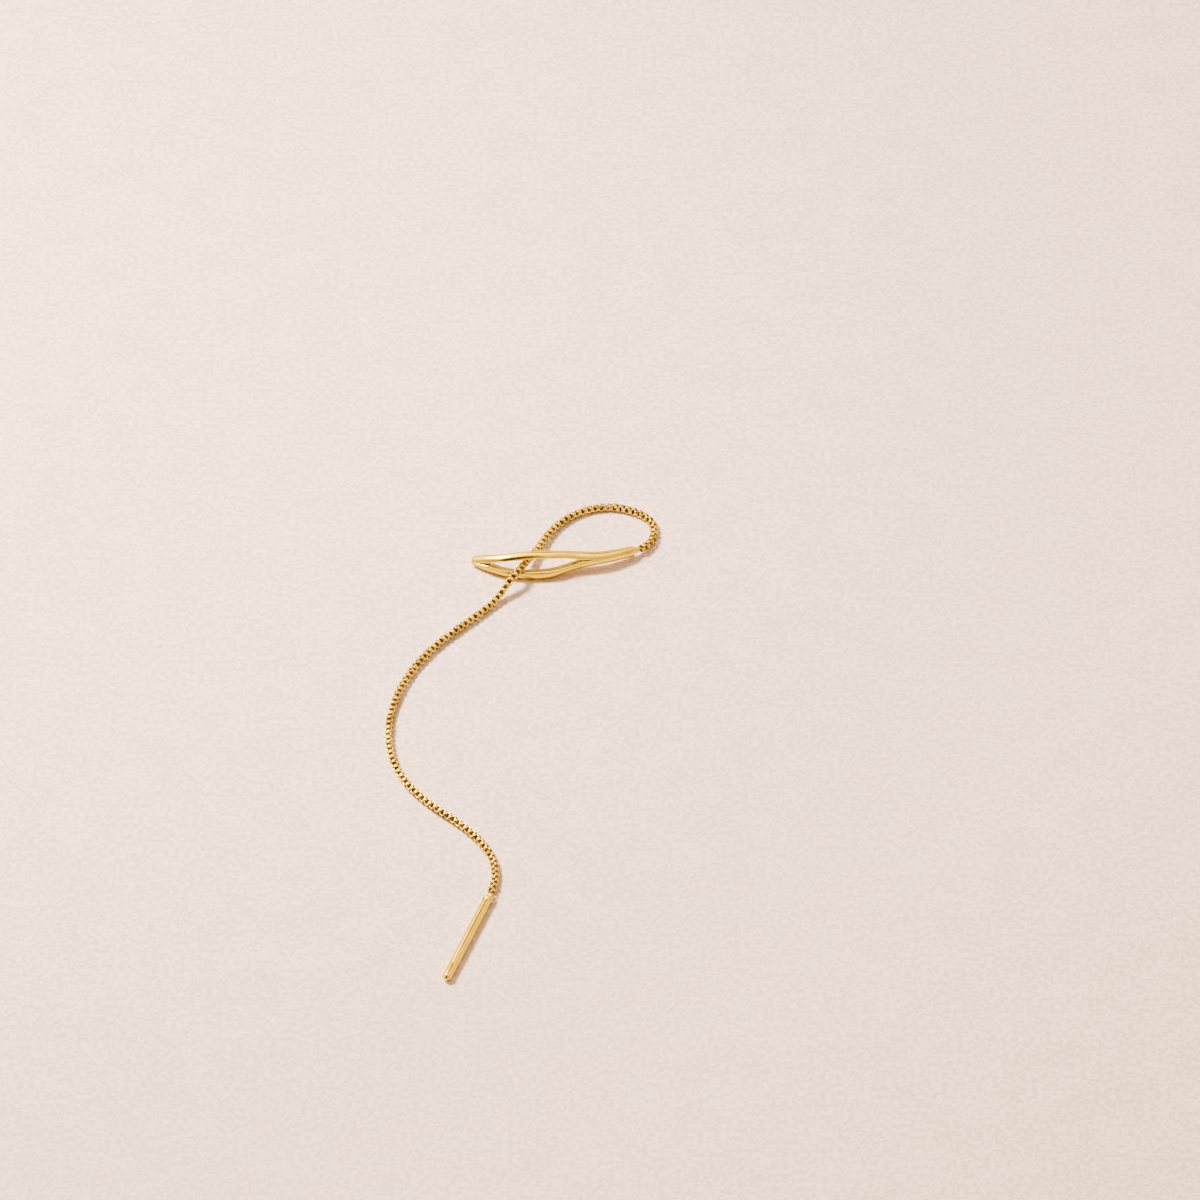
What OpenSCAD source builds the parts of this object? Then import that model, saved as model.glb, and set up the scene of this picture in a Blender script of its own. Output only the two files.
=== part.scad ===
// Threader earring: a bowed needle eye, a box chain that is threaded through it, and a threader bar.
// It lies on a surface at z = 0. +X is to the right, +Y is away from the viewer.

/* [Needle eye] */
// Length of the eye piece, from its blunt tip to the end of its stem
eye_len = 16.3; // [14:0.1:19]
// Width across both rails where the eye is widest
eye_w = 2.95; // [2.6:0.05:3.3]
// Width of each rail there
rail_w = 0.8; // [0.6:0.02:0.85]
// Thickness of the rod that the eye is cut from, seen on its edge
eye_t = 1.2; // [0.9:0.05:1.4]
// Width of the stem behind the eye
stem_w = 1.3; // [1:0.05:1.6]
// How far the rod bows out of a straight line
eye_bow = 2.1; // [1.5:0.05:2.4]

/* [Chain] */
// Width of a link across the chain
link_w = 0.75; // [0.7:0.01:0.8]
// Thickness of the flat wire that the links are bent from
wire_t = 0.08; // [0.06:0.005:0.1]
// Width of that wire
wire_w = 0.3; // [0.26:0.01:0.36]
// Least air between neighbouring links, in the tightest bend of the chain
link_air = 0.12; // [0.1:0.005:0.13]
// Tightest bend of the chain
bend_r = 2.6; // [2.5:0.1:5]

/* [Threader bar] */
// Length of the bar, without the end link on top of it
bar_len = 11.8; // [9:0.1:16]
// Diameter of the bar
bar_d = 0.9; // [0.8:0.02:1.1]
// Distance of the fine groove from the bar's tip
groove_at = 2.1; // [1.2:0.1:4]
// Width of the groove
groove_w = 0.14; // [0.06:0.02:0.3]
// Depth of the groove
groove_t = 0.07; // [0.02:0.01:0.08]

/* [Soldered joints] */
// Air between the first loose link and the metal that its neighbour is soldered to
joint_air = 0.2; // [0.15:0.01:0.3]
// Turn of the needle eye's end link towards the chain, in degrees
neck_turn = 11; // [0:1:20]

/* [Hidden] */
gold = "#e3b75c";
tiny = 0.01;

// How the three pieces lie: angles in degrees, places in mm on the surface
eye_heading = 4;
eye_rise = 0.9;
eye_tilt = 63;
bar_heading = 249.7;
stem_end_xy = [11.09, 25.8];
bar_top_xy = [-2.95, -21.8];

// Sections of the eye piece, from the tip to the stem's end. Along is a share of eye_len, rod of stem_w,
// belly of what eye_w has over stem_w, edge of eye_t, slot of the slot's full width at the two faces,
// through of the same halfway into the metal, where 0 means that a web closes it, and bow of eye_bow.
ALONG = 0;
ROD = 1;
BELLY = 2;
EDGE = 3;
SLOT = 4;
THROUGH = 5;
BOW = 6;
eye_rows = [
    // along, rod, belly, edge, slot, through, bow
    [0.000, 0.36, 0.00, 0.46, 0.00, 0.00, 0.00],
    [0.008, 0.60, 0.00, 0.66, 0.00, 0.00, 0.03],
    [0.026, 0.80, 0.01, 0.82, 0.00, 0.00, 0.12],
    [0.060, 0.95, 0.11, 0.92, 0.19, 0.00, 0.27],
    [0.090, 1.00, 0.22, 0.97, 0.36, 0.00, 0.41],
    [0.115, 1.00, 0.32, 1.00, 0.46, 0.26, 0.51],
    [0.155, 1.00, 0.46, 1.00, 0.59, 0.52, 0.67],
    [0.210, 1.00, 0.65, 1.00, 0.74, 0.70, 0.85],
    [0.280, 1.00, 0.85, 1.00, 0.92, 0.88, 0.95],
    [0.370, 1.00, 1.00, 1.00, 1.00, 0.98, 1.01],
    [0.470, 1.00, 0.94, 1.00, 0.94, 0.91, 1.02],
    [0.560, 1.00, 0.63, 1.00, 0.70, 0.65, 0.86],
    [0.630, 1.00, 0.38, 1.00, 0.46, 0.32, 0.74],
    [0.664, 1.00, 0.28, 1.00, 0.32, 0.00, 0.71],
    [0.695, 1.00, 0.19, 1.00, 0.17, 0.00, 0.69],
    [0.725, 1.00, 0.10, 1.00, 0.00, 0.00, 0.67],
    [0.795, 0.96, 0.02, 1.00, 0.00, 0.00, 0.60],
    [0.880, 0.90, 0.00, 0.95, 0.00, 0.00, 0.40],
    [0.940, 0.86, 0.00, 0.88, 0.00, 0.00, 0.22],
    [0.975, 0.83, 0.00, 0.82, 0.00, 0.00, 0.09],
    [0.993, 0.74, 0.00, 0.70, 0.00, 0.00, 0.02],
    [1.000, 0.56, 0.00, 0.50, 0.00, 0.00, 0.00],
];
// Squareness of a section: 2 is an ellipse, more is squarer
section_power = 2.5;
// Points on a quarter of a section's outline
quarter = 5;
// Heights of the slot wall's points between the two faces, as shares of half the metal there
wall_levels = [-0.5, 0, 0.5];
// The sideways bow as a share of the bow
side_share = 0.1;

// The chain's route over the surface, from the stem's end to the bar: x, y, the height of its underside
// above the surface and its roll about its own line in degrees, as the chain lies. It loops back, passes
// under the eye's far rail, comes up through the slot and goes over the near rail.
UNDERSIDE = 2;
ROLL = 3;
route_rows = [
    [11.88, 26.25, 0.29, 4],
    [12.65, 27.1, 0.15, 13],
    [13.05, 28.15, 0.05, 27],
    [13.15, 29.2, 0.02, 38],
    [12.85, 30.3, 0.02, 38],
    [12.08, 31.22, 0.02, 30],
    [10.75, 32.0, 0.02, 20],
    [8.9, 32.5, 0.02, 12],
    [7.0, 32.3, 0.02, 8],
    [5.3, 31.55, 0.02, 5],
    [3.7, 30.2, 0.03, 2],
    [2.5, 28.5, 0.09, 0],
    [1.5, 26.4, 0.28, 0],
    [0.7, 24.72, 0.48, 0],
    [0.05, 23.19, 0.91, 0],
    [-0.6, 21.82, 1.21, 0],
    [-1.42, 20.68, 0.9, 0],
    [-2.17, 19.75, 0.36, 0],
    [-2.95, 18.7, 0.07, 0],
    [-4.0, 17.5, 0.03, 0],
    [-5.3, 16.15, 0.02, 0],
    [-6.9, 14.5, 0.02, 0],
    [-8.5, 12.75, 0.02, 2],
    [-9.95, 10.75, 0.02, 8],
    [-11.3, 8.3, 0.02, 16],
    [-12.4, 5.5, 0.02, 28],
    [-13.0, 2.4, 0.02, 38],
    [-13.05, -0.8, 0.02, 42],
    [-12.45, -3.9, 0.02, 34],
    [-11.2, -6.6, 0.02, 20],
    [-9.55, -8.75, 0.02, 9],
    [-7.7, -10.55, 0.02, 3],
    [-5.75, -12.35, 0.02, 8],
    [-4.1, -14.3, 0.02, 18],
    [-3.0, -16.2, 0.02, 26],
    [-2.5, -18.1, 0.02, 28],
    [-2.5, -19.9, 0.03, 13],
];
route_steps = 8;

// Smooth curves through listed points
function blend4(a, b, c, d, f) =
    b + f * ((c - a) + f * ((2 * a - 5 * b + 4 * c - d) + f * (3 * (b - c) + d - a))) / 2;
function smooth(list, i, f) =
    let (last = len(list) - 1)
    blend4(list[max(i - 1, 0)], list[i], list[min(i + 1, last)], list[min(i + 2, last)], f);
function unit(v) = v / norm(v);

// The eye piece's own directions: along its line, across its slot and out of its open face
eye_along = [cos(eye_rise) * cos(eye_heading), cos(eye_rise) * sin(eye_heading), sin(eye_rise)];
eye_level = [-sin(eye_heading), cos(eye_heading), 0];
eye_across = eye_level * cos(eye_tilt) + cross(eye_along, eye_level) * sin(eye_tilt);
eye_out = cross(eye_along, eye_across);

// Sections of the eye piece in millimetres: place along, half width, half thickness,
// half slot at the faces, half slot inside, bow
slot_w = eye_w - 2 * rail_w;
function eye_size(row) = [
    row[ALONG] * eye_len,
    (row[ROD] * stem_w + row[BELLY] * (eye_w - stem_w)) / 2,
    row[EDGE] * eye_t / 2,
    row[SLOT] * slot_w / 2,
    row[THROUGH] * slot_w / 2,
    row[BOW] * eye_bow,
];
section_list = [for (row = eye_rows) eye_size(row)];
sections = [
    for (i = [0 : len(section_list) - 1], half = (i < len(section_list) - 1) ? [0, 0.5] : [0])
        let (
            here = section_list[i],
            next = section_list[min(i + 1, len(section_list) - 1)],
            curved = smooth(section_list, i, half)
        )
        [
            for (c = [0 : 5])
                (half == 0) ? here[c] :
                (c == 3 && min(here[c], next[c]) == 0) || c == 4 ? (here[c] + next[c]) / 2 : curved[c]
        ]
];
n_sections = len(sections);

// A place on the eye piece, before it is lifted onto the surface
function on_eye(along, across, out) =
    along * eye_along + across * eye_across + out * eye_out;
function section_middle(i) =
    on_eye(sections[i][0] - eye_len, -side_share * sections[i][5], sections[i][5]);
function section_way(i) =
    unit(section_middle(min(i + 1, n_sections - 1)) - section_middle(max(i - 1, 0)));

// One half of a section: round its outline, then back along the slot's wall
side_points = 2 * 2 * quarter + 1 + len(wall_levels);
function outline_point(half_w, half_t, angle) = [
    half_w * pow(max(cos(angle), 0), 2 / section_power),
    half_t * sign(sin(angle)) * pow(abs(sin(angle)), 2 / section_power)
];
function half_section(s, side) =
    let (
        start = acos(pow(s[3] / s[1], section_power / 2)),
        face = outline_point(s[1], s[2], start)[1],
        inner = s[4]
    )
    [
        for (k = [0 : 4 * quarter])
            let (p = outline_point(s[1], s[2], start * (1 - k / (2 * quarter))))
            [side * ((k == 0 || k == 4 * quarter) ? s[3] : p[0]), p[1]],
        for (level = wall_levels)
            [side * (inner > 0 ? inner + (s[3] - inner) * abs(level) : 0), level * face],
    ];
function section_points(i, side) =
    let (
        way = section_way(i),
        across = unit(eye_across - (eye_across * way) * way),
        out = cross(way, across)
    )
    [for (p = half_section(sections[i], side)) section_middle(i) + p[0] * across + p[1] * out];

// Both halves of every section, where a wall point with no slot belongs to both halves
eye_points = [for (i = [0 : n_sections - 1], side = [1, -1]) each section_points(i, side)];
function is_shared(i, k) = abs(half_section(sections[i], 1)[k][0]) < tiny / 10;
shared = [for (i = [0 : n_sections - 1]) [for (k = [0 : side_points - 1]) is_shared(i, k)]];
function eye_index(i, side, k) =
    let (own = (k + side_points) % side_points)
    (2 * i + ((side < 0 && !shared[i][own]) ? 1 : 0)) * side_points + own;
function turned(face, side) = side > 0 ? face : [face[2], face[1], face[0]];
function is_web(i, j, m, a, b, c) = shared[i][a] && shared[j][b] && shared[m][c];
function strip_faces(i, side, k) =
    let (next = (k + 1) % side_points)
    [
        if (!is_web(i, i, i + 1, k, next, next))
            turned([eye_index(i, side, k), eye_index(i, side, next), eye_index(i + 1, side, next)], side),
        if (!is_web(i, i + 1, i + 1, k, next, k))
            turned([eye_index(i, side, k), eye_index(i + 1, side, next), eye_index(i + 1, side, k)], side),
    ];
function end_loop(i) = [
    for (k = [0 : 4 * quarter]) eye_index(i, 1, k),
    for (k = [4 * quarter - 1 : -1 : 1]) eye_index(i, -1, k),
];
function reversed(list) = [for (k = [len(list) - 1 : -1 : 0]) list[k]];
eye_faces = [
    for (i = [0 : n_sections - 2], side = [1, -1], k = [0 : side_points - 1]) each strip_faces(i, side, k),
    reversed(end_loop(0)),
    end_loop(n_sections - 1),
];
// The eye piece rests on the surface, so its lowest point gives the height of its stem's end
stem_end = [stem_end_xy[0], stem_end_xy[1], -min([for (p = eye_points) p[2]])];
stem_way = section_way(n_sections - 1);

// The links' proportions. A bend closes the air between neighbours, so they get that much more:
// links that hook into each other by the turn over the wire's width, and links in one plane, which
// follow each other at twice the pitch, by the turn over the flat of their ends.
corner = link_w / 5;
hole_corner = link_w * 0.08;
end_flat = link_w - 2 * corner;
least_pitch = 2 * (wire_t + link_air) / (1 - (wire_w / 2 + end_flat) / bend_r);
turn = least_pitch / bend_r;
hook_air = link_air + turn * wire_w / 2;
link_len = least_pitch + 2 * wire_t + hook_air;
// Half of the chain's height where it is rolled by up to a quarter turn
function half_height(roll) =
    max(link_w * cos(roll) + wire_w * sin(roll), link_w * sin(roll) + wire_w * cos(roll)) / 2;

// The route as the chain's middle line, from the middle of one soldered end link to the other
joint_out = joint_air - (least_pitch - link_len / 2);
eye_joint = stem_end + joint_out * stem_way;
neck_way = [
    stem_way[0] * cos(neck_turn) - stem_way[1] * sin(neck_turn),
    stem_way[0] * sin(neck_turn) + stem_way[1] * cos(neck_turn),
    stem_way[2],
];
bar_way = [cos(bar_heading), sin(bar_heading), 0];
bar_joint = [bar_top_xy[0], bar_top_xy[1], bar_d / 2];
function as_row(place) = [place[0], place[1], place[2] - half_height(0), 0];
guided = [
    as_row(eye_joint - neck_way),
    as_row(eye_joint),
    each route_rows,
    as_row(bar_joint),
    as_row(bar_joint + bar_way),
];
bends = [
    for (i = [0 : len(route_rows)], k = [0 : route_steps - 1])
        blend4(guided[i], guided[i + 1], guided[i + 2], guided[i + 3], k / route_steps),
    as_row(bar_joint),
];
line = [for (p = bends) [p[0], p[1], max(p[UNDERSIDE], tiny) + half_height(p[ROLL]), p[ROLL]]];
function place_of(p) = [p[0], p[1], p[2]];
line_at = [
    for (
        i = 0, s = 0;
        i < len(line);
        s = s + (i + 1 < len(line) ? norm(place_of(line[i + 1] - line[i])) : 0), i = i + 1
    ) s
];
line_len = line_at[len(line_at) - 1];
line_axis = [for (c = [0 : 3]) [for (i = [0 : len(line) - 1]) [line_at[i], line[i][c]]]];
function on_line(s) = [for (c = [0 : 2]) lookup(s, line_axis[c])];
function roll_at(s) = lookup(s, line_axis[ROLL]);

// Loose links, an even number of them, so that both end links stand the same way up
n_links = 2 * floor((line_len / least_pitch - 1) / 2);
pitch = line_len / (n_links + 1);
function link_way(s) =
    unit(on_line(min(s + link_len / 2, line_len)) - on_line(max(s - link_len / 2, 0)));
function link_frame(place, way, roll) =
    let (
        flat = unit(cross(way, [0, 0, 1])),
        up = cross(flat, way),
        a = flat * cos(roll) + up * sin(roll),
        b = up * cos(roll) - flat * sin(roll)
    )
    [
        [way[0], a[0], b[0], place[0]],
        [way[1], a[1], b[1], place[1]],
        [way[2], a[2], b[2], place[2]],
        [0, 0, 0, 1],
    ];

// The chain's loops are the part's reach to the left, right and back, and the bar's tip to the front
reach = [for (p = line) [p[0], p[1]]];
bar_tip = bar_joint + bar_way * (bar_len + joint_out);
middle = [
    (min([for (p = reach) p[0]]) + max([for (p = reach) p[0]])) / 2,
    (max([for (p = reach) p[1]]) + link_w / 2 + bar_tip[1]) / 2,
    0,
];

module link_outline(length, width, cut) {
    x = length / 2;
    y = width / 2;
    polygon([
        [x, cut - y], [x, y - cut], [x - cut, y], [cut - x, y],
        [-x, y - cut], [-x, cut - y], [cut - x, -y], [x - cut, -y],
    ]);
}

// A link lies along X, with its ring in the XY plane
module link() {
    translate([0, 0, -wire_w / 2])
        linear_extrude(wire_w)
            difference() {
                link_outline(link_len, link_w, corner);
                link_outline(link_len - 2 * wire_t, link_w - 2 * wire_t, hole_corner);
            }
}

module box_chain() {
    color(gold)
        translate(-middle)
            for (i = [1 : n_links]) {
                s = i * pitch;
                multmatrix(link_frame(on_line(s), link_way(s), roll_at(s) + 90 * (i % 2)))
                    link();
            }
}

module needle_eye() {
    color(gold)
        translate(-middle) {
            translate(stem_end) polyhedron(eye_points, eye_faces, convexity = 6);
            multmatrix(link_frame(eye_joint, neck_way, 0)) link();
        }
}

// The bar's outline from its axis, with its domed top at x = 0 and its rounded tip at bar_len
module bar_profile() {
    r = bar_d / 2;
    groove_x = bar_len - groove_at;
    polygon([
        [0, 0], [0.02 * r, 0.2 * r], [0.12 * r, 0.48 * r], [0.3 * r, 0.72 * r], [0.58 * r, 0.91 * r],
        [r, r],
        [groove_x - groove_w / 2, r], [groove_x, r - groove_t], [groove_x + groove_w / 2, r],
        [bar_len - 0.9 * r, r], [bar_len - 0.5 * r, 0.86 * r], [bar_len - 0.18 * r, 0.6 * r],
        [bar_len - 0.03 * r, 0.3 * r], [bar_len, 0],
    ]);
}

module threader_bar() {
    color(gold)
        translate(-middle)
            translate(bar_joint)
                rotate([0, 0, bar_heading]) {
                    translate([joint_out, 0, 0])
                        rotate([0, 90, 0])
                            rotate_extrude($fn = 48)
                                mirror([1, -1])
                                    bar_profile();
                    rotate([90, 0, 0]) link();
                }
}

needle_eye();
box_chain();
threader_bar();
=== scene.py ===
# Looks of a threader earring on pale paper: satin needle eye, polished box chain, slim bar.
# Sizes are in millimetres until a piece is finished, which brings it to metres in the frame.
from bisect import bisect_right
from math import acos, cos, pi, radians, sin

import bmesh
import bpy
from mathutils import Matrix, Vector


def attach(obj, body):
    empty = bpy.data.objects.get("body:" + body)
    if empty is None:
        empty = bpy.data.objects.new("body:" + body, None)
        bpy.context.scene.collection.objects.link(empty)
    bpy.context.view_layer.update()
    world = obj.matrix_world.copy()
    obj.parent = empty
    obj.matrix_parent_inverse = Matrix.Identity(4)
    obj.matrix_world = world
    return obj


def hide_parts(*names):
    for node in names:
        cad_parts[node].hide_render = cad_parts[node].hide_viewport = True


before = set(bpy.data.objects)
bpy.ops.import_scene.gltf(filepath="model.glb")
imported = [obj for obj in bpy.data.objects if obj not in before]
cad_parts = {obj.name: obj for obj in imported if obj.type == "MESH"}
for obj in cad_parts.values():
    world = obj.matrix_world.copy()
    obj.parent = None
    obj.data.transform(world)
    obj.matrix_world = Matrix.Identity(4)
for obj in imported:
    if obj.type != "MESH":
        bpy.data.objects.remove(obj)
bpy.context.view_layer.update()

MM = 0.001

# Sizes of the real pieces. SLOT_SIDES scales the slot's half width on its near and far side, and
# its edges at the faces are rounded over SLOT_EDGE. BAR_TIP goes back from the bar's end and out
# from its middle, in shares of its radius.
EYE_LEN = 16.3
EYE_W = 2.95
RAIL_W = 0.8
EYE_T = 1.2
STEM_W = 1.3
EYE_BOW = 2.1
SIDE_SHARE = 0.1
SLOT_SIDES = (0.86, 1.1)
SLOT_EDGE = 0.07
NECK_D = 0.6
NECK_LEN = 0.72
LINK_W = 0.72
LINK_LEN = 0.62
STRIP_T = 0.135
STRIP_W = 0.45
LINK_CORNER = 0.15
LINK_RIM = 0.03
LINK_SWAY = 8            # degrees that a link may be off the chain's line and roll
LINK_PITCH = 0.343
BAR_LEN = 11.8
BAR_D = 0.9
KNOB_OVER = 0.07         # how far the knob at the bar's top stands proud of the bar
KNOB_FOOT = [(0.17, 0.015), (0.24, -0.01), (0.32, 0)]      # past its middle, and over the bar
GROOVE_AT = 2.1
GROOVE_W = 0.14
GROOVE_T = 0.07
GROOVE_EDGE = (0.02, 0.004)        # how far outside the groove its rounded edges start, and sink
BAR_TIP = [(0.95, 1), (0.85, 0.985), (0.68, 0.91), (0.2, 0.47), (0.05, 0.28), (0, 0)]
EYELET_D = 0.85
EYELET_HOLE = 0.4
EYELET_T = 0.36
EYELET_IN = 0.15
EYELET_ASIDE = 0.15

# How the pieces lie
EYE_HEADING = radians(4.0)
EYE_RISE = radians(0.9)
EYE_TILT = radians(63)
BAR_HEADING = radians(249.7)
NECK_TURN = radians(11)
BAR_ROLL = -40           # degrees that the chain is rolled at the bar's top
STEM_END_XY = (11.09, 25.8)
BAR_TOP = Vector((-2.95, -21.8, BAR_D / 2))
JOINT_OUT = 0.1          # from a soldered end to the chain's line

# The camera looks at a point of the surface from the front
CAMERA_TARGET = (7.68, 19.5)
CAMERA_RISE = radians(44.3)
CAMERA_DISTANCE = 857
CAMERA_LENS = 257.1

# Key light: a small round lamp near the surface, so that the paper is darker away from it
KEY_WAY = (-0.68, 0.36, 1)
KEY_DISTANCE = 0.3
KEY_SIZE = 0.08
KEY_SPREAD = radians(150)
KEY_POWER = 2.6
KEY_COLOUR = (1.0, 0.79, 0.69)

# Scale of the metal's brushing on each axis: it is drawn out along X
GRAIN = (0.25, 1, 1)

# The paper reaches this many metres from the middle, so that its edges lie outside the picture
PAPER_REACH = 1.5

# Room: its levels by height, how much stronger the metal mirrors it than it lights the paper, and
# round cards that brighten or darken it: direction, near and far degrees, share
ROOM_COLOUR = (1.0, 0.70, 0.48)
ROOM_STRENGTH = 0.94
GLOSS_SHARE = 3.5
ROOM_LEVELS = [(0.0, 0.75), (0.5, 0.75), (1.0, 0.9)]
ROOM_CARDS = [
    ((-0.385, -0.665, 0.64), 19, 29, 0.02),
    ((0.0, -0.82, 0.574), 5, 12, 0.1),
    ((0.32, -0.45, 0.83), 14, 28, 1.5),
    ((-0.72, -0.6, 0.35), 5, 16, 0.5),
    ((0.15, 0.1, 0.98), 14, 30, 2.0),
    ((0.04, 0.67, 0.74), 10, 17, 0.05),
    ((-0.61, 0.35, 0.72), 18, 45, 2.6),
    ((-0.57, 0.3, 0.77), 8, 22, 2.4),
    ((-0.17, 0.8, 0.57), 10, 28, 2.3),
    ((0.6, 0.6, 0.5), 15, 38, 1.35),
    ((0.56, -0.66, 0.5), 20, 50, 0.75),
]

# Sections of the needle eye from its tip to its stem's end, as shares of the sizes above: along,
# rod of STEM_W, belly of what EYE_W has over STEM_W, edge of EYE_T, slot at the faces and inside of
# the slot's width, groove of half the metal, bow of EYE_BOW
EYE_ROWS = [
    (0.005, 0.46, 0.00, 0.52, 0.00, 0.00, 0.00, 0.00),
    (0.011, 0.68, 0.00, 0.72, 0.00, 0.00, 0.00, 0.03),
    (0.028, 0.83, 0.01, 0.86, 0.05, 0.02, 0.20, 0.12),
    (0.060, 0.95, 0.11, 0.93, 0.10, 0.03, 0.60, 0.27),
    (0.090, 1.00, 0.22, 0.97, 0.13, 0.04, 1.00, 0.41),
    (0.115, 1.00, 0.32, 1.00, 0.20, 0.06, 1.00, 0.51),
    (0.155, 1.00, 0.46, 1.00, 0.48, 0.38, 1.00, 0.67),
    (0.210, 1.00, 0.65, 1.00, 0.70, 0.62, 1.00, 0.85),
    (0.280, 1.00, 0.85, 1.00, 0.90, 0.84, 1.00, 0.95),
    (0.370, 1.00, 1.00, 1.00, 1.00, 0.96, 1.00, 1.01),
    (0.470, 1.00, 0.94, 1.00, 0.94, 0.91, 1.00, 1.02),
    (0.560, 1.00, 0.63, 1.00, 0.70, 0.62, 1.00, 0.86),
    (0.630, 1.00, 0.38, 1.00, 0.33, 0.24, 1.00, 0.74),
    (0.664, 1.00, 0.28, 1.00, 0.08, 0.04, 1.00, 0.71),
    (0.695, 1.00, 0.19, 1.00, 0.08, 0.03, 0.90, 0.69),
    (0.725, 1.00, 0.10, 1.00, 0.07, 0.02, 0.35, 0.67),
    (0.795, 0.96, 0.02, 1.00, 0.00, 0.00, 0.00, 0.60),
    (0.880, 0.90, 0.00, 0.95, 0.00, 0.00, 0.00, 0.40),
    (0.940, 0.86, 0.00, 0.88, 0.00, 0.00, 0.00, 0.22),
    (0.975, 0.84, 0.00, 0.83, 0.00, 0.00, 0.00, 0.09),
    (0.993, 0.78, 0.00, 0.75, 0.00, 0.00, 0.00, 0.02),
    (1.000, 0.62, 0.00, 0.56, 0.00, 0.00, 0.00, 0.00),
]

# The sheet that the needle eye is shaped from: steps between rows, the slot's first and last step,
# and columns from the middle to the slot's edge and on to the rail's outer edge
ROW_STEPS = 3
HOLE_ROWS = (15, 38)
SLOT_COLUMNS = 2
RAIL_COLUMNS = 7
RAIL_SHOULDER = radians(22)

# The chain's route from the stem to the bar: x, y, height of its underside, roll in degrees
ROUTE_ROWS = [
    (11.88, 26.25, 0.29, 5),
    (12.65, 27.1, 0.15, 14),
    (13.05, 28.15, 0.05, 27),
    (13.15, 29.2, 0.02, 41),
    (12.85, 30.3, 0.02, 56),
    (12.08, 31.22, 0.02, 65),
    (10.75, 32.0, 0.02, 69),
    (8.9, 32.5, 0.02, 68),
    (7.0, 32.3, 0.02, 60),
    (5.3, 31.55, 0.02, 47),
    (3.7, 30.2, 0.03, 35),
    (2.5, 28.5, 0.09, 28),
    (1.5, 26.4, 0.28, 26),
    (0.7, 24.72, 0.48, 27),
    (0.05, 23.19, 0.91, 29),
    (-0.6, 21.82, 1.21, 27),
    (-1.42, 20.68, 0.9, 26),
    (-2.17, 19.75, 0.36, 28),
    (-2.95, 18.7, 0.07, 32),
    (-4.0, 17.5, 0.03, 35),
    (-5.3, 16.15, 0.02, 35),
    (-6.9, 14.5, 0.02, 35),
    (-8.5, 12.75, 0.02, 33),
    (-9.95, 10.75, 0.02, 34),
    (-11.3, 8.3, 0.02, 42),
    (-12.4, 5.5, 0.02, 20),
    (-13.0, 2.4, 0.02, -8),
    (-13.05, -0.8, 0.02, -20),
    (-12.45, -3.9, 0.02, -24),
    (-11.2, -6.6, 0.02, -26),
    (-9.55, -8.75, 0.02, -28),
    (-7.7, -10.55, 0.02, -31),
    (-5.75, -12.35, 0.02, -34),
    (-4.1, -14.3, 0.02, -38),
    (-3.0, -16.2, 0.02, -46),
    (-2.5, -18.1, 0.02, -48),
    (-2.5, -19.9, 0.03, -44),
]
ROUTE_STEPS = 8
UNDERSIDE_MIN = 0.01


def blend4(a, b, c, d, f):
    """A point on the smooth curve from b to c, whose neighbours are a and d."""
    return b + f * ((c - a) + f * ((2 * a - 5 * b + 4 * c - d) + f * (3 * (b - c) + d - a))) / 2


def on_curve(rows, at):
    """The smooth curve through rows at a place that counts rows."""
    last = len(rows) - 1
    i = min(int(at), last - 1)
    return blend4(rows[max(i - 1, 0)], rows[i], rows[i + 1], rows[min(i + 2, last)], at - i)


# Placing the needle eye: its directions are along it, across its slot and out of its open face
EYE_ALONG = Vector((
    cos(EYE_RISE) * cos(EYE_HEADING), cos(EYE_RISE) * sin(EYE_HEADING), sin(EYE_RISE),
))
EYE_LEVEL = Vector((-sin(EYE_HEADING), cos(EYE_HEADING), 0))
EYE_ACROSS = EYE_LEVEL * cos(EYE_TILT) + EYE_ALONG.cross(EYE_LEVEL) * sin(EYE_TILT)
EYE_OUT = EYE_ALONG.cross(EYE_ACROSS)
SLOT_W = EYE_W - 2 * RAIL_W
eye_rows = [Vector(row) for row in EYE_ROWS]


def eye_section(at):
    """Sizes of the needle eye's section at a place that counts rows."""
    along, rod, belly, edge, slot, inner, groove, bow = on_curve(eye_rows, at)
    return {
        "along": along * EYE_LEN,
        "half_w": (rod * STEM_W + belly * (EYE_W - STEM_W)) / 2,
        "half_t": edge * EYE_T / 2,
        "slot": max(slot, 0) * SLOT_W / 2,
        "inner": max(inner, 0) * SLOT_W / 2,
        "groove": min(max(groove, 0), 1),
        "bow": bow * EYE_BOW,
    }


def eye_middle(at):
    """The middle of the needle eye's section, from its stem's end."""
    s = eye_section(at)
    along = (s["along"] - EYE_LEN) * EYE_ALONG
    return along - SIDE_SHARE * s["bow"] * EYE_ACROSS + s["bow"] * EYE_OUT


def eye_way(at):
    """The direction of the needle eye's own line."""
    last = len(eye_rows) - 1
    return (eye_middle(min(at + 0.3, last)) - eye_middle(max(at - 0.3, 0))).normalized()


def round_section(s, angle):
    """A point of the flattened rod: flat between two round edges."""
    r = min(s["half_w"], s["half_t"])
    return s["half_w"] - r + r * cos(angle), s["half_t"] * sin(angle)


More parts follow.
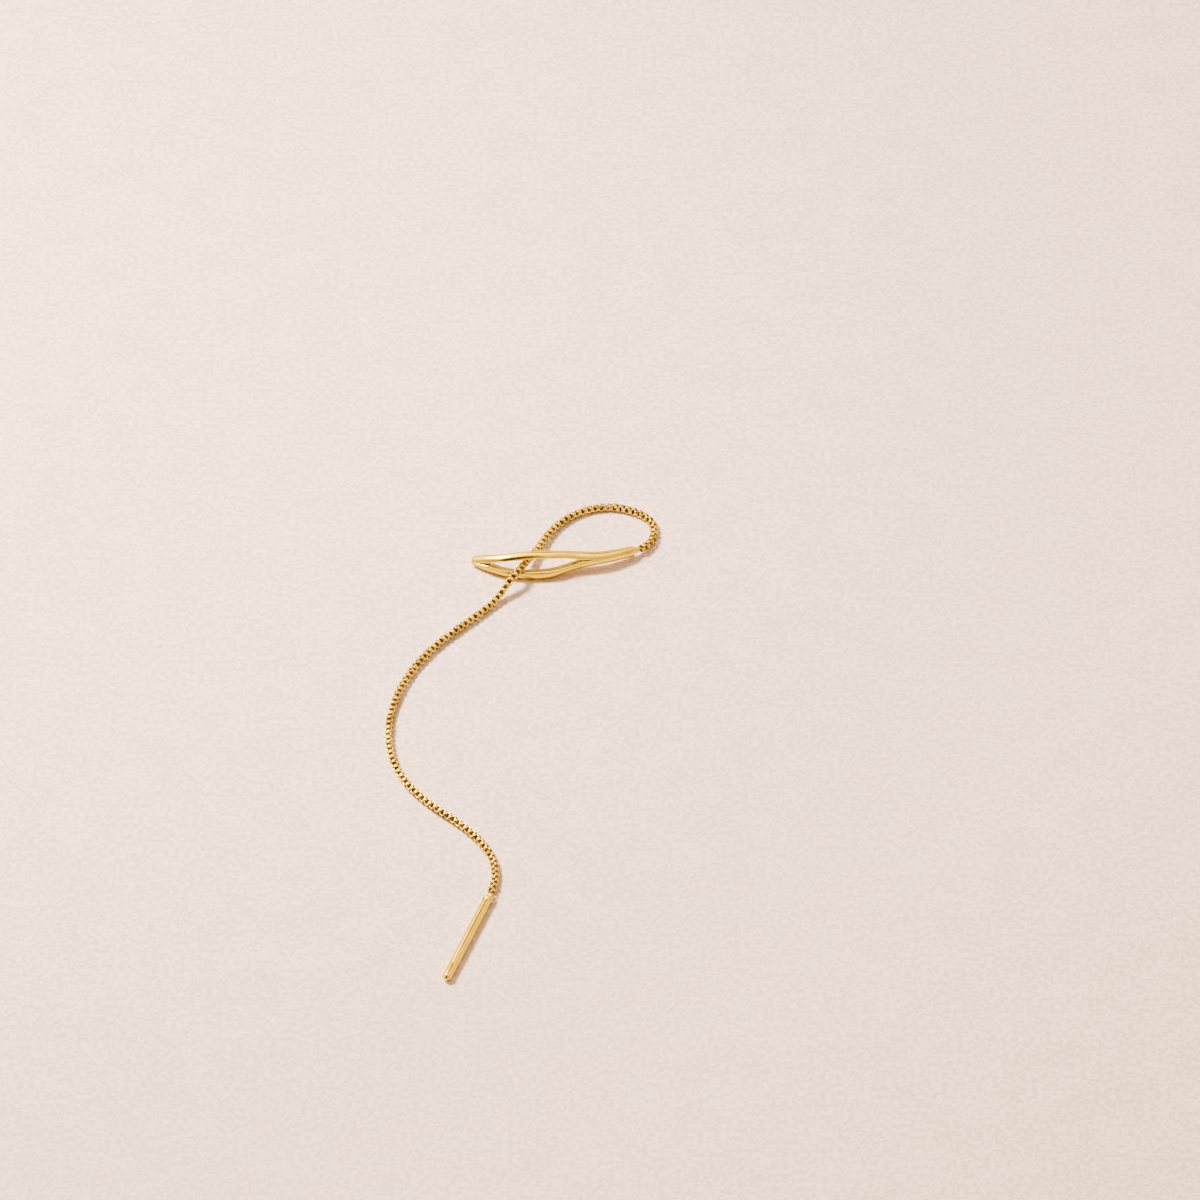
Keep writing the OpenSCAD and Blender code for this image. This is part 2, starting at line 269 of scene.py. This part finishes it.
def in_section(s, column, level):
    """A place across and out of a section, from the sheet's column and level between its faces."""
    side, wide = (-1, SLOT_SIDES[0]) if column < 0 else (1, SLOT_SIDES[1])
    slot, inner = s["slot"] * wide, s["inner"] * wide
    column = abs(column)
    r = min(s["half_w"], s["half_t"])
    start = acos(min(max((slot - s["half_w"] + r) / r, 0), 1))
    if column < SLOT_COLUMNS:
        # The web that closes the slot at its ends, with the groove of each face in it
        share = column / SLOT_COLUMNS
        face = round_section(s, start)[1]
        return side * slot * share, face * (1 - s["groove"] * (1 - share)) * level
    share = max(column - SLOT_COLUMNS - 1, 0) / (RAIL_COLUMNS - 1)
    angle = start + (RAIL_SHOULDER - start) * share
    if column == SLOT_COLUMNS + RAIL_COLUMNS:
        across, out = round_section(s, RAIL_SHOULDER * abs(level))
        return side * across, out * (1 if level >= 0 else -1)
    across, out = round_section(s, angle)
    if column == SLOT_COLUMNS:
        across = inner + (slot - inner) * abs(level)
    if column == SLOT_COLUMNS + 1:
        across = min(slot + SLOT_EDGE, s["half_w"])
    return side * across, out * level


class Route:
    """The chain's middle line, with its roll, at any length from its start."""

    def __init__(self, rows, steps):
        self.points = [on_curve(rows, 1 + i / steps) for i in range((len(rows) - 3) * steps + 1)]
        for point in self.points:
            point.z = max(point.z, UNDERSIDE_MIN) + half_height(radians(point.w))
        self.at = [0.0]
        for a, b in zip(self.points, self.points[1:]):
            self.at.append(self.at[-1] + (b - a).to_3d().length)
        self.length = self.at[-1]

    def point(self, s):
        s = min(max(s, 0), self.length)
        i = min(bisect_right(self.at, s) - 1, len(self.points) - 2)
        f = (s - self.at[i]) / (self.at[i + 1] - self.at[i])
        return self.points[i].lerp(self.points[i + 1], f)

    def frame(self, s, turn):
        """A link's frame: along the line, across the ring's plane, and out of it."""
        place = self.point(s)
        reach = LINK_LEN / 2
        way = (self.point(s + reach) - self.point(s - reach)).to_3d().normalized()
        flat = way.cross(Vector((0, 0, 1))).normalized()
        up = flat.cross(way)
        roll = radians(place.w) + turn
        a = flat * cos(roll) + up * sin(roll)
        b = up * cos(roll) - flat * sin(roll)
        return Matrix((
            (way.x, a.x, b.x, place.x),
            (way.y, a.y, b.y, place.y),
            (way.z, a.z, b.z, place.z),
            (0, 0, 0, 1),
        ))


def half_height(roll):
    """Half of the chain's height where it is rolled."""
    level, upright = abs(cos(roll)), abs(sin(roll))
    return max(LINK_W * level + STRIP_W * upright, LINK_W * upright + STRIP_W * level) / 2


def as_row(place, roll=0):
    return Vector((place.x, place.y, place.z - half_height(radians(roll)), roll))


def make_eye_sheet():
    """A flat sheet with the slot's hole, thick enough to have a middle: columns run across it."""
    columns = SLOT_COLUMNS + RAIL_COLUMNS
    stations = (len(EYE_ROWS) - 1) * ROW_STEPS
    bm = bmesh.new()
    bmesh.ops.create_grid(bm, x_segments=stations, y_segments=2 * columns, size=1)
    bmesh.ops.translate(bm, verts=bm.verts, vec=(1, 0, 0))
    bmesh.ops.scale(bm, verts=bm.verts, vec=(stations / 2, columns, 1))
    bmesh.ops.translate(bm, verts=bm.verts, vec=(0, 0, 1))
    lower = bmesh.ops.extrude_face_region(bm, geom=bm.faces[:])["geom"]
    bmesh.ops.translate(
        bm, verts=[v for v in lower if isinstance(v, bmesh.types.BMVert)], vec=(0, 0, -2)
    )
    hole = []
    for face in bm.faces:
        middle = face.calc_center_median()
        if (HOLE_ROWS[0] < middle.x < HOLE_ROWS[1] and abs(middle.y) < SLOT_COLUMNS
                and abs(middle.z) > 0.5):
            hole.append(face)
    bmesh.ops.delete(bm, geom=hole, context="FACES")
    bmesh.ops.bridge_loops(bm, edges=[e for e in bm.edges if e.is_boundary])
    # The slot's inner walls take the second material: a rougher finish, and painted shade in its
    # darker colour
    for face in bm.faces:
        if abs(abs(face.calc_center_median().y) - SLOT_COLUMNS) < 0.01:
            face.material_index = 1
    upright = [e for e in bm.edges if abs(e.verts[0].co.z - e.verts[1].co.z) > 1]
    bmesh.ops.subdivide_edges(bm, edges=upright, cuts=3, use_grid_fill=True)
    return bm


def make_needle_eye():
    """The rod with its slot, bowed, with its stem's end at the origin; where it is placed, it is
    lifted to rest on the surface.
    """
    bm = make_eye_sheet()
    for vert in bm.verts:
        at = vert.co.x / ROW_STEPS
        s = eye_section(at)
        across, out = in_section(s, vert.co.y, vert.co.z)
        way = eye_way(at)
        side = (EYE_ACROSS - EYE_ACROSS.dot(way) * way).normalized()
        vert.co = eye_middle(at) + across * side + out * way.cross(side)
    return bm


def make_link():
    """A square ring of flat strip, along X with its ring in the XY plane."""
    bm = bmesh.new()
    bmesh.ops.create_cube(bm, size=1)
    bmesh.ops.scale(bm, verts=bm.verts, vec=(LINK_LEN, LINK_W, STRIP_W))
    posts = [e for e in bm.edges if abs(e.verts[0].co.z - e.verts[1].co.z) > STRIP_W / 2]
    bmesh.ops.bevel(
        bm, geom=posts, offset=LINK_CORNER, affect="EDGES", segments=1, profile=0.5, material=-1
    )
    caps = [f for f in bm.faces if abs(f.normal.z) > 0.9]
    rims = [e for f in caps for e in f.edges]
    bmesh.ops.inset_individual(bm, faces=caps, thickness=STRIP_T)
    bmesh.ops.bevel(
        bm, geom=rims, offset=LINK_RIM, affect="EDGES", segments=1, profile=0.5, material=-1
    )
    bm.faces.ensure_lookup_table()
    caps = sorted((f for f in bm.faces if abs(f.normal.z) > 0.9), key=lambda f: -len(f.verts))[:2]
    loops = [e for f in caps for e in f.edges]
    bmesh.ops.delete(bm, geom=caps, context="FACES_ONLY")
    bmesh.ops.bridge_loops(bm, edges=loops)
    # Ends, corner bevels and inner walls take the second material, painted shade that darkens the
    # links' hollows
    for face in bm.faces:
        face.normal_update()
        middle = face.calc_center_median()
        if abs(face.normal.x) > 0.5 or face.normal.dot((middle.x, middle.y, 0)) < -0.05:
            face.material_index = 1
    return bm


def make_chain(route):
    """All loose links, each turned a quarter against the one before, and a little off by sines."""
    link = make_link()
    mesh = bpy.data.meshes.new("link")
    link.to_mesh(mesh)
    link.free()
    bm = bmesh.new()
    start = JOINT_OUT + NECK_LEN
    count = int((route.length - start - LINK_LEN / 4) / LINK_PITCH)
    for i in range(count):
        old = len(bm.verts)
        bm.from_mesh(mesh)
        bm.verts.ensure_lookup_table()
        sway = radians(LINK_SWAY)
        turn = pi / 2 * (i % 2) + sway * sin(12.7 * i * i)
        bend = Matrix.Rotation(sway * sin(7.3 * i * i), 4, "Z")
        place = route.frame(start + i * LINK_PITCH, turn) @ bend
        bmesh.ops.transform(bm, verts=bm.verts[old:], matrix=place)
    bpy.data.meshes.remove(mesh)
    return bm


def spin_profile(points, steps, axis=(1, 0, 0)):
    """A solid of revolution about an axis through the origin, from an open or closed outline."""
    bm = bmesh.new()
    verts = [bm.verts.new(p) for p in points]
    edges = [bm.edges.new(pair) for pair in zip(verts, verts[1:])]
    bmesh.ops.spin(
        bm, geom=verts + edges, axis=axis, angle=2 * pi, steps=steps, use_merge=True
    )
    bmesh.ops.remove_doubles(bm, verts=bm.verts, dist=1e-4)
    return bm


def make_bar():
    """The bar along X, with its domed top at the origin."""
    r = BAR_D / 2
    x = BAR_LEN - GROOVE_AT
    knob = r + KNOB_OVER
    outline = [(knob - knob * cos(a), knob * sin(a)) for a in (radians(15 * k) for k in range(8))]
    outline += [(knob + past, r + over) for past, over in KNOB_FOOT] + [(x / 2, r)]
    outline += [(x - GROOVE_W / 2 - GROOVE_EDGE[0], r), (x - GROOVE_W / 2, r - GROOVE_EDGE[1])]
    outline += [(x - GROOVE_W / 5, r - GROOVE_T), (x + GROOVE_W / 5, r - GROOVE_T)]
    outline += [(x + GROOVE_W / 2, r - GROOVE_EDGE[1]), (x + GROOVE_W / 2 + GROOVE_EDGE[0], r)]
    outline += [(BAR_LEN - back * r, wide * r) for back, wide in BAR_TIP]
    bm = spin_profile([(px, 0, py) for px, py in outline], 48)
    # The knob's underside is flat, so that the bar lies level
    for vert in bm.verts:
        vert.co.z = max(vert.co.z, -r)
    return bm


def make_neck():
    """A short round stud along X that leaves the stem's end, with a rounded end."""
    r = NECK_D / 2
    outline = [(-0.3, 0, 0), (-0.3, 0, r), (0, 0, r)]
    angles = [radians(18 * k) for k in range(6)]
    outline += [(NECK_LEN - r + r * sin(a), 0, r * cos(a)) for a in angles]
    return spin_profile(outline, 20)


def make_ring(outer, hole, thick):
    """A flat ring with rounded edges about the Y axis."""
    middle = (outer + hole) / 4
    half_w = (outer - hole) / 4
    outline = []
    for k in range(12):
        a = 2 * pi * k / 12
        w = half_w * (1 if cos(a) > 0 else -1) * abs(cos(a)) ** 0.7
        t = thick / 2 * (1 if sin(a) > 0 else -1) * abs(sin(a)) ** 0.7
        outline.append((middle + w, t, 0))
    return spin_profile(outline + outline[:1], 28, axis=(0, 1, 0))


class Value:
    """A shader socket that takes arithmetic: each operator adds a Math node."""

    def __init__(self, look, socket):
        self.look = look
        self.socket = socket

    def math(self, operation, other):
        return self.look.node("ShaderNodeMath", {"operation": operation}, {0: self, 1: other})

    def __add__(self, other):
        return self.math("ADD", other)

    def __mul__(self, other):
        return self.math("MULTIPLY", other)

    __radd__ = __add__
    __rmul__ = __mul__


class Look:
    """A procedural node tree: a material on Object coordinates, or the world on directions."""

    def __init__(self, owner, place="Object"):
        self.owner = owner
        owner.use_nodes = True
        self.tree = owner.node_tree
        self.tree.nodes.clear()
        self.place = self.node("ShaderNodeTexCoord", {}, {}, place)

    def node(self, kind, settings, inputs, output=0):
        """Adds a node: settings first, then each input's value or link. Returns one output."""
        made = self.tree.nodes.new(kind)
        for name, value in settings.items():
            if name == "stops":
                self.set_stops(made.color_ramp, value)
            else:
                setattr(made, name, value)
        for name, value in inputs.items():
            if isinstance(value, Value):
                self.tree.links.new(value.socket, made.inputs[name])
            else:
                made.inputs[name].default_value = value
        return Value(self, made.outputs[output]) if made.outputs else made

    def set_stops(self, ramp, stops):
        while len(ramp.elements) < len(stops):
            ramp.elements.new(0.5)
        for element, (at, colour) in zip(ramp.elements, stops):
            element.position = at
            element.color = colour

    def noise(self, scale, detail=2.0, roughness=0.5, stretch=None):
        place = self.place
        if stretch:
            place = self.node("ShaderNodeMapping", {}, {"Vector": place, "Scale": stretch})
        return self.node(
            "ShaderNodeTexNoise", {},
            {"Vector": place, "Scale": scale, "Detail": detail, "Roughness": roughness},
        )

    def ramp(self, value, stops):
        return self.node("ShaderNodeValToRGB", {"stops": stops}, {"Fac": value})

    def bump(self, height, distance, strength=1.0):
        return self.node(
            "ShaderNodeBump", {}, {"Height": height, "Distance": distance, "Strength": strength}
        )

    def surface(self, inputs):
        shader = self.node("ShaderNodeBsdfPrincipled", {}, inputs)
        self.node("ShaderNodeOutputMaterial", {}, {"Surface": shader})
        return self.owner


def gold_look(name, light, deep, roughness):
    """Plated gold: a slow change of tone, fine brushing and soft pits."""
    look = Look(bpy.data.materials.new(name))
    tone = look.noise(700, 3, 0.7)
    colour = look.ramp(tone, [(0.35, deep), (0.65, light)])
    fine = look.noise(9000, 4, 0.6, stretch=GRAIN)
    soft = look.noise(1500, 2)
    rough = roughness + 0.05 * fine + 0.04 * soft
    height = 0.5 * fine + soft
    return look.surface({
        "Base Color": colour,
        "Metallic": 1.0,
        "Roughness": rough,
        "Specular Tint": (0.85, 0.64, 0.1, 1),
        "Normal": look.bump(height, 0.00002, 0.35),
    })


def paper_look():
    look = Look(bpy.data.materials.new("pale_paper"))
    tone = 0.2 * look.noise(220, 4, 0.6) + 0.8 * look.noise(1900, 3, 0.6)
    colour = look.ramp(tone, [(0.44, (0.745, 0.635, 0.53, 1)), (0.56, (0.99, 0.85, 0.71, 1))])
    fibres = look.noise(1600, 5, 0.65)
    return look.surface({
        "Base Color": colour,
        "Roughness": 0.9,
        "Specular IOR Level": 0.2,
        "Normal": look.bump(fibres, 0.00006, 0.5),
    })


def add_piece(bm, name, node, materials, matrix=None):
    """Brings a bmesh to metres in the frame as a piece that stands for a CAD node."""
    if matrix:
        bmesh.ops.transform(bm, verts=bm.verts, matrix=matrix)
    bmesh.ops.translate(bm, verts=bm.verts, vec=-MIDDLE)
    bmesh.ops.scale(bm, verts=bm.verts, vec=(MM, MM, MM))
    bmesh.ops.recalc_face_normals(bm, faces=bm.faces)
    mesh = bpy.data.meshes.new(name)
    bm.to_mesh(mesh)
    bm.free()
    mesh.shade_smooth()
    for material in materials:
        mesh.materials.append(material)
    piece = bpy.data.objects.new(name, mesh)
    bpy.context.scene.collection.objects.link(piece)
    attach(piece, "root")
    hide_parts(node)
    return piece


def smooth_out(piece, levels):
    """Finishes a piece with a subdivision surface."""
    modifier = piece.modifiers.new("smooth", "SUBSURF")
    modifier.levels = modifier.render_levels = levels


def turned_to(way, place):
    """A matrix that turns X to a direction and keeps Z up, for what is modelled along X."""
    return Matrix.Translation(place) @ way.to_track_quat("X", "Z").to_matrix().to_4x4()


# The needle eye rests on its lowest point, which gives the height of its stem's end
eye = make_needle_eye()
stem_end = Vector((*STEM_END_XY, -min(v.co.z for v in eye.verts)))
stem_way = eye_way(len(EYE_ROWS) - 1)
eye_joint = stem_end + JOINT_OUT * stem_way
neck_way = Matrix.Rotation(NECK_TURN, 3, "Z") @ stem_way
bar_way = Vector((cos(BAR_HEADING), sin(BAR_HEADING), 0))
guides = [as_row(eye_joint - neck_way), as_row(eye_joint)]
guides += [Vector(row) for row in ROUTE_ROWS]
guides += [as_row(BAR_TOP, BAR_ROLL), as_row(BAR_TOP + bar_way, BAR_ROLL)]
route = Route(guides, ROUTE_STEPS)

# The origin is the middle of the outline
bar_start = BAR_TOP + JOINT_OUT * bar_way
reach_x = [p.x for p in route.points]
reach_y = max(p.y for p in route.points) + LINK_W / 2
MIDDLE = Vector((
    (min(reach_x) + max(reach_x)) / 2,
    (reach_y + (bar_start + BAR_LEN * bar_way).y) / 2,
    0,
))

satin = gold_look("satin_gold", (0.70, 0.525, 0.004, 1), (0.54, 0.39, 0.003, 1), 0.13)
bright = gold_look("bright_gold", (0.74, 0.555, 0.02, 1), (0.40, 0.285, 0.01, 1), 0.05)
# Slot gold: its rougher brushing is the wall's own finish; its darker, greyer colour is painted
# shade for the shadowed metal and paper that the wall mirrors
slot_wall_rough_shaded = gold_look("slot_gold_rough_painted_shade", (0.46, 0.36, 0.06, 1), (0.34, 0.25, 0.035, 1), 0.42)
# Painted shade: the dark recess gold stands for the shade inside the chain links, not for a colour
# of the metal
painted_recess_shade = gold_look("recess_gold_painted_shade", (0.24, 0.145, 0.045, 1), (0.09, 0.05, 0.015, 1), 0.35)

needle_eye = add_piece(
    eye, "needle_eye_piece", "needle_eye", [satin, slot_wall_rough_shaded],
    Matrix.Translation(stem_end),
)
smooth_out(needle_eye, 1)
add_piece(
    make_neck(), "needle_eye_neck", "needle_eye", [satin],
    turned_to(neck_way, stem_end),
)
add_piece(make_chain(route), "box_chain_piece", "box_chain", [bright, painted_recess_shade])
add_piece(
    make_bar(), "threader_bar_piece", "threader_bar", [satin],
    turned_to(bar_way, bar_start),
)
eyelet_place = BAR_TOP + EYELET_IN * bar_way + EYELET_ASIDE * bar_way.cross((0, 0, -1))
add_piece(
    make_ring(EYELET_D, EYELET_HOLE, EYELET_T), "bar_eyelet", "threader_bar",
    [satin], turned_to(bar_way, eyelet_place),
)

# Stage: paper, camera, lights
paper_mesh = bpy.data.meshes.new("paper")
bm = bmesh.new()
bmesh.ops.create_grid(bm, x_segments=1, y_segments=1, size=PAPER_REACH)
bm.to_mesh(paper_mesh)
bm.free()
paper_mesh.materials.append(paper_look())
paper = bpy.data.objects.new("paper", paper_mesh)
bpy.context.scene.collection.objects.link(paper)

target = (Vector((*CAMERA_TARGET, 0)) - MIDDLE) * MM
camera_data = bpy.data.cameras.new("camera")
camera_data.lens = CAMERA_LENS
camera_data.sensor_width = 36
camera = bpy.data.objects.new("camera", camera_data)
camera.location = target + Vector((0, -cos(CAMERA_RISE), sin(CAMERA_RISE))) * CAMERA_DISTANCE * MM
camera.rotation_euler = (pi / 2 - CAMERA_RISE, 0, 0)
bpy.context.scene.collection.objects.link(camera)
bpy.context.scene.camera = camera


def add_key_light():
    """A round soft box that shines on the camera's target."""
    light = bpy.data.lights.new("key", "AREA")
    light.shape = "DISK"
    light.size = KEY_SIZE
    light.spread = KEY_SPREAD
    light.energy = KEY_POWER
    light.color = KEY_COLOUR
    lamp = bpy.data.objects.new("key", light)
    way = Vector(KEY_WAY).normalized()
    lamp.location = target + way * KEY_DISTANCE
    lamp.rotation_euler = way.to_track_quat("Z", "Y").to_euler()
    bpy.context.scene.collection.objects.link(lamp)


add_key_light()


def card(look, way, near, far):
    """How far a direction lies on a soft round card: 1 within near degrees, 0 beyond far ones."""
    facing = look.node(
        "ShaderNodeVectorMath", {"operation": "DOT_PRODUCT"},
        {0: look.place, 1: Vector(way).normalized()}, "Value",
    )
    return look.node(
        "ShaderNodeMapRange", {"interpolation_type": "SMOOTHSTEP"},
        {"Value": facing, "From Min": cos(radians(far)), "From Max": cos(radians(near))},
    )


def light_the_room():
    """A bright room with a dark camera side, on a ramp from the floor to the ceiling."""
    world = bpy.data.worlds.new("studio")
    bpy.context.scene.world = world
    look = Look(world, "Generated")
    height = look.node("ShaderNodeSeparateXYZ", {}, {0: look.place}, "Z")
    level = look.ramp(height, [(at, (v, v, v, 1)) for at, v in ROOM_LEVELS])
    for way, near, far, share in ROOM_CARDS:
        level = level * (1 + (share - 1) * card(look, way, near, far))
    mirrored = look.node("ShaderNodeLightPath", {}, {}, "Is Glossy Ray")
    level = level * (1 + (GLOSS_SHARE - 1) * mirrored)
    shade = look.node(
        "ShaderNodeBackground", {}, {"Color": (*ROOM_COLOUR, 1), "Strength": ROOM_STRENGTH * level}
    )
    look.node("ShaderNodeOutputWorld", {}, {"Surface": shade})


light_the_room()
